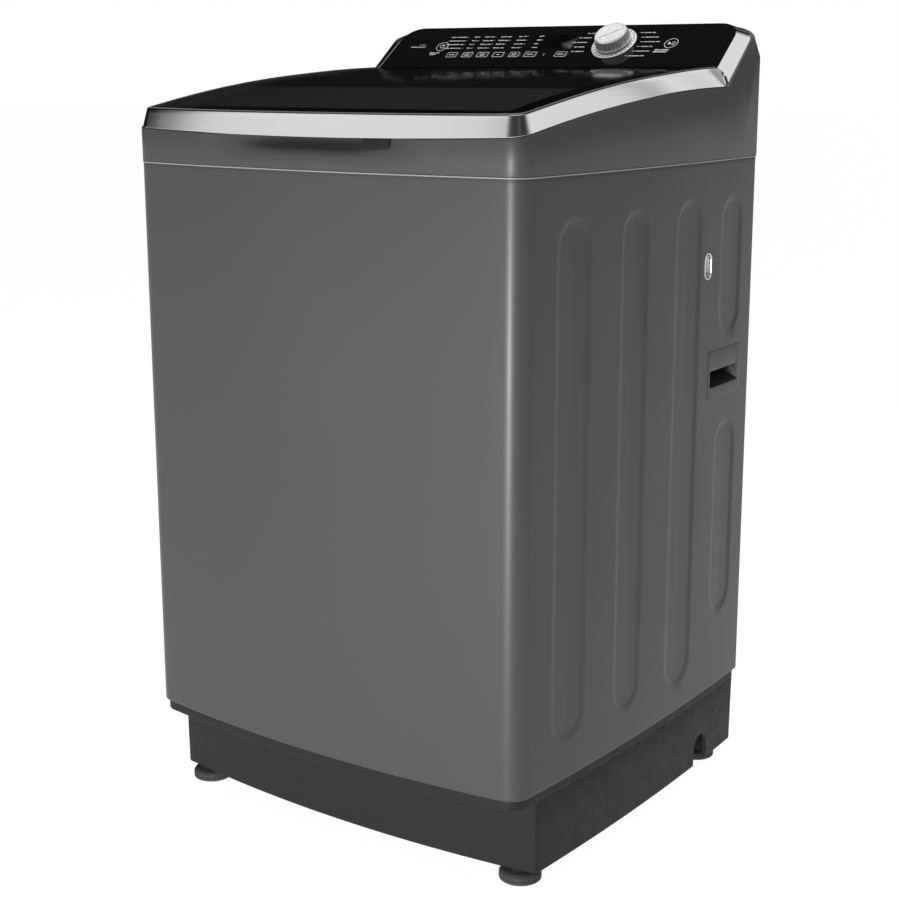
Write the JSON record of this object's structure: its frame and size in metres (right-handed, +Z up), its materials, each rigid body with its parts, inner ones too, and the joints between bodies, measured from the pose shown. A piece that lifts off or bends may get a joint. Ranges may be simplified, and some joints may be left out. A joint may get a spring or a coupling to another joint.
{
  "type": "top load washing machine",
  "caption": "Free-standing top load washing machine with a hinged glass lid, sloping control console, sprung tub, spinning basket and pulsator.",
  "frame": {"origin": "middle of the footprint, on the floor under the feet", "axes": "+X to the right seen from the front, +Y to the back, +Z up"},
  "size_m": [0.6, 0.5868, 1.0113],
  "materials": {
    "grey_metal": "satin dark grey paint",
    "grey_plastic": "fine-grained dark grey moulding",
    "base_plastic": "dark moulding",
    "chrome_trim": "bright satin chrome",
    "tinted_glass": "polished smoked glass",
    "gloss_black": "piano black",
    "silver_plastic": "silver finish",
    "foot_rubber": "matt",
    "hose_rubber": "matt",
    "bare_steel": "zinc plated",
    "stainless": "embossed and perforated",
    "tub_plastic": "plain moulding",
    "white_plastic": "smooth moulding",
    "cast_housing": "cast",
    "winding": "laminated core with enamelled windings",
    "board_green": "solder mask",
    "valve_plastic": "moulded"
  },
  "bodies": {
    "cabinet": {"cabinet_shell": "grey_metal", "rear_panel": "grey_metal", "base_frame": "base_plastic", "foot_rear_left": "foot_rubber", "foot_rear_right": "foot_rubber", "top_cover": "grey_plastic", "console_trim": "chrome_trim", "console_panel": "gloss_black", "display_window": "tinted_glass", "knob_scale_ring": "silver_plastic", "control_board": "board_green", "suspension_rod_front_left": "bare_steel", "suspension_rod_front_right": "bare_steel", "suspension_rod_rear_left": "bare_steel", "suspension_rod_rear_right": "bare_steel", "suspension_spring_front_left": "bare_steel", "suspension_spring_front_right": "bare_steel", "suspension_spring_rear_left": "bare_steel", "suspension_spring_rear_right": "bare_steel", "inlet_valve": "tub_plastic", "detergent_case": "white_plastic", "hose_hook": "silver_plastic", "handle_pocket_left": "grey_plastic", "handle_pocket_right": "grey_plastic", "cord_gland": "hose_rubber", "drain_hose": "hose_rubber", "drain_outlet": "hose_rubber"},
    "lid": {"lid_trim": "chrome_trim", "lid_glass": "tinted_glass", "lid_inner_frame": "base_plastic", "lid_tab": "base_plastic", "hinge_pin_left": "bare_steel", "hinge_pin_right": "bare_steel"},
    "knob": {"knob": "silver_plastic"},
    "power_key": {"power_key": "gloss_black"},
    "start_key": {"start_key": "gloss_black"},
    "function_key_1": {"function_key_1": "gloss_black"},
    "function_key_2": {"function_key_2": "gloss_black"},
    "function_key_3": {"function_key_3": "gloss_black"},
    "function_key_4": {"function_key_4": "gloss_black"},
    "function_key_5": {"function_key_5": "gloss_black"},
    "function_key_6": {"function_key_6": "gloss_black"},
    "function_key_7": {"function_key_7": "gloss_black"},
    "tub": {"outer_tub": "tub_plastic", "tub_cover": "tub_plastic", "motor_stator": "winding", "clutch_housing": "cast_housing", "drain_valve": "valve_plastic"},
    "basket": {"basket": "stainless", "balance_ring": "white_plastic", "lint_filter_left": "white_plastic", "lint_filter_right": "white_plastic"},
    "pulsator": {"pulsator": "white_plastic", "wash_shaft": "bare_steel", "rotor": "cast_housing"},
    "detergent_drawer": {"detergent_drawer": "white_plastic"},
    "foot_front_left": {"foot_front_left": "foot_rubber"},
    "foot_front_right": {"foot_front_right": "foot_rubber"}
  },
  "joints": [
    {"name": "lid_hinge", "type": "hinge", "parent": "cabinet", "child": "lid", "pos_m": [0, 0.1905, 0.9465], "axis": [-1, 0, 0], "range_deg": [0, 98]},
    {"name": "knob_turn", "type": "hinge", "parent": "cabinet", "child": "knob", "pos_m": [0.098, 0.23799, 0.98423], "axis": [0, -0.6184, 0.7859], "continuous": true},
    {"name": "power_key_press", "type": "slide", "parent": "cabinet", "child": "power_key", "axis": [0, 0.6184, -0.7859], "range_m": [0, 0.001], "stiffness_N_per_m": 150, "springref_m": -0.002},
    {"name": "start_key_press", "type": "slide", "parent": "cabinet", "child": "start_key", "axis": [0, 0.6184, -0.7859], "range_m": [0, 0.001], "stiffness_N_per_m": 150, "springref_m": -0.002},
    {"name": "function_key_1_press", "type": "slide", "parent": "cabinet", "child": "function_key_1", "axis": [0, 0.6184, -0.7859], "range_m": [0, 0.001], "stiffness_N_per_m": 150, "springref_m": -0.002},
    {"name": "function_key_2_press", "type": "slide", "parent": "cabinet", "child": "function_key_2", "axis": [0, 0.6184, -0.7859], "range_m": [0, 0.001], "stiffness_N_per_m": 150, "springref_m": -0.002},
    {"name": "function_key_3_press", "type": "slide", "parent": "cabinet", "child": "function_key_3", "axis": [0, 0.6184, -0.7859], "range_m": [0, 0.001], "stiffness_N_per_m": 150, "springref_m": -0.002},
    {"name": "function_key_4_press", "type": "slide", "parent": "cabinet", "child": "function_key_4", "axis": [0, 0.6184, -0.7859], "range_m": [0, 0.001], "stiffness_N_per_m": 150, "springref_m": -0.002},
    {"name": "function_key_5_press", "type": "slide", "parent": "cabinet", "child": "function_key_5", "axis": [0, 0.6184, -0.7859], "range_m": [0, 0.001], "stiffness_N_per_m": 150, "springref_m": -0.002},
    {"name": "function_key_6_press", "type": "slide", "parent": "cabinet", "child": "function_key_6", "axis": [0, 0.6184, -0.7859], "range_m": [0, 0.001], "stiffness_N_per_m": 150, "springref_m": -0.002},
    {"name": "function_key_7_press", "type": "slide", "parent": "cabinet", "child": "function_key_7", "axis": [0, 0.6184, -0.7859], "range_m": [0, 0.001], "stiffness_N_per_m": 150, "springref_m": -0.002},
    {"name": "tub_sink", "type": "slide", "parent": "cabinet", "child": "tub", "axis": [0, 0, 1], "range_m": [-0.025, 0], "stiffness_N_per_m": 12000, "springref_m": 0.022, "deforming": ["suspension_spring_front_left", "suspension_spring_front_right", "suspension_spring_rear_left", "suspension_spring_rear_right", "drain_hose"]},
    {"name": "basket_spin", "type": "hinge", "parent": "tub", "child": "basket", "pos_m": [0, 0, 0.735], "axis": [0, 0, 1], "continuous": true},
    {"name": "pulsator_turn", "type": "hinge", "parent": "basket", "child": "pulsator", "pos_m": [0, 0, 0.29], "axis": [0, 0, 1], "continuous": true},
    {"name": "drawer_slide", "type": "slide", "parent": "cabinet", "child": "detergent_drawer", "axis": [0, -1, 0], "range_m": [0, 0.072]},
    {"name": "foot_left_screw", "type": "slide", "parent": "cabinet", "child": "foot_front_left", "axis": [0, 0, -1], "range_m": [0, 0.012]},
    {"name": "foot_right_screw", "type": "slide", "parent": "cabinet", "child": "foot_front_right", "axis": [0, 0, -1], "range_m": [0, 0.012]}
  ]
}
